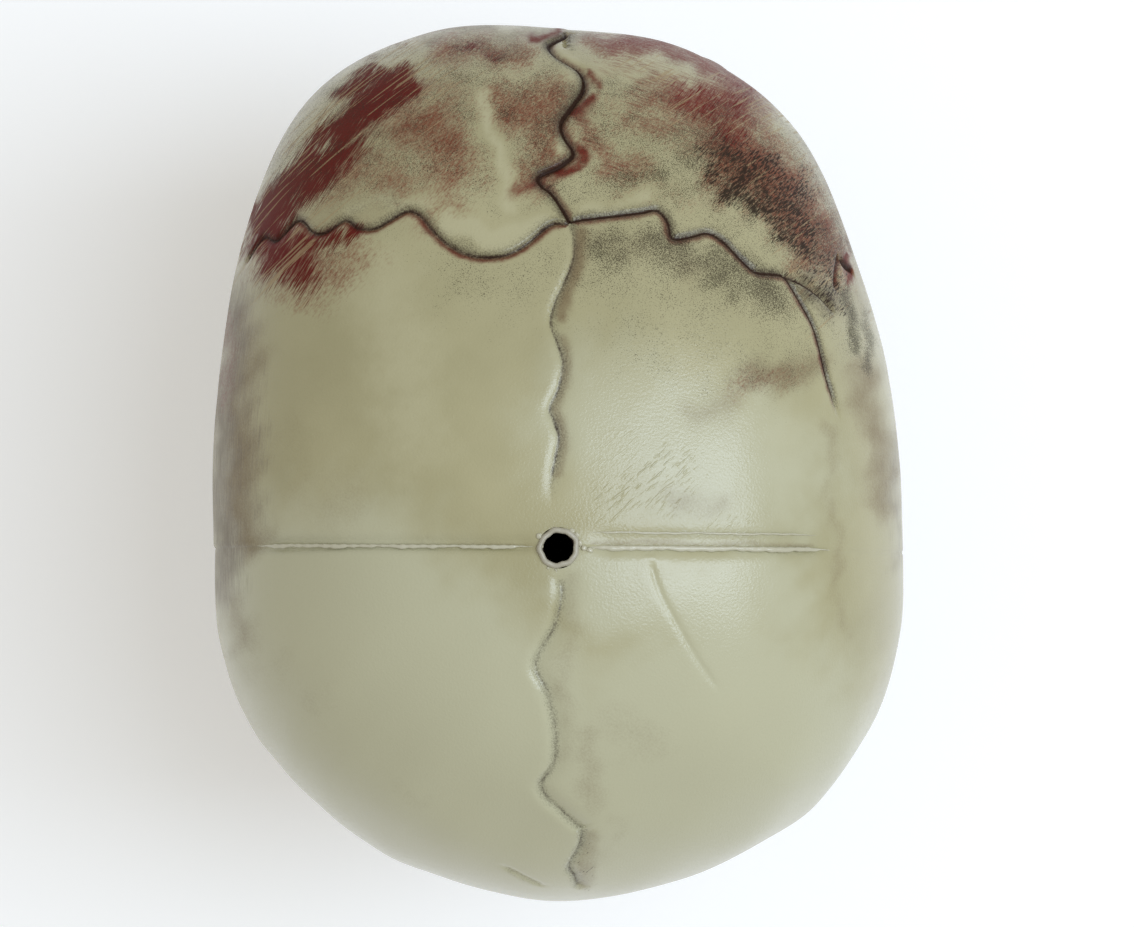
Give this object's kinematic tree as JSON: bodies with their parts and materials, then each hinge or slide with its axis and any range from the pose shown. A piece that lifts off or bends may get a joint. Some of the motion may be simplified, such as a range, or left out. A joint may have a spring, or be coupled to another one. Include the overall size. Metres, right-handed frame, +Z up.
{
  "type": "skull decoration",
  "caption": "Life-size hollow moulded plastic skull in two shells around a crown hanging tube, with a screw-hinged lower jaw.",
  "frame": {"origin": "on the table below the middle of the skull, midway between nose tip and back of the head; the table touches the jaw's flat underside", "axes": "+Z up, face towards -Y, +X to the skull's own left"},
  "size_m": [0.1505, 0.1939, 0.2179],
  "materials": {
    "shell_plastic": "semi-gloss, dry-brushed with dark red and black paint towards the face",
    "jaw_plastic": "semi-gloss, dry-brushed with dark red and black paint",
    "bare_plastic": "unpainted, as moulded",
    "nylon": "satin natural nylon",
    "steel": "zinc plated"
  },
  "bodies": {
    "skull": {"face_shell": "shell_plastic", "rear_shell": "shell_plastic", "crown_bush": "bare_plastic", "jaw_spacer_left": "nylon", "jaw_spacer_right": "nylon", "jaw_washer_left": "steel", "jaw_washer_right": "steel", "jaw_screw_left": "steel", "jaw_screw_right": "steel"},
    "jaw": {"lower_jaw": "jaw_plastic"}
  },
  "joints": [
    {"name": "jaw_hinge", "type": "hinge", "parent": "skull", "child": "jaw", "pos_m": [0, 0.00398, 0.08506], "axis": [1, 0, 0], "range_deg": [0, 22]}
  ]
}
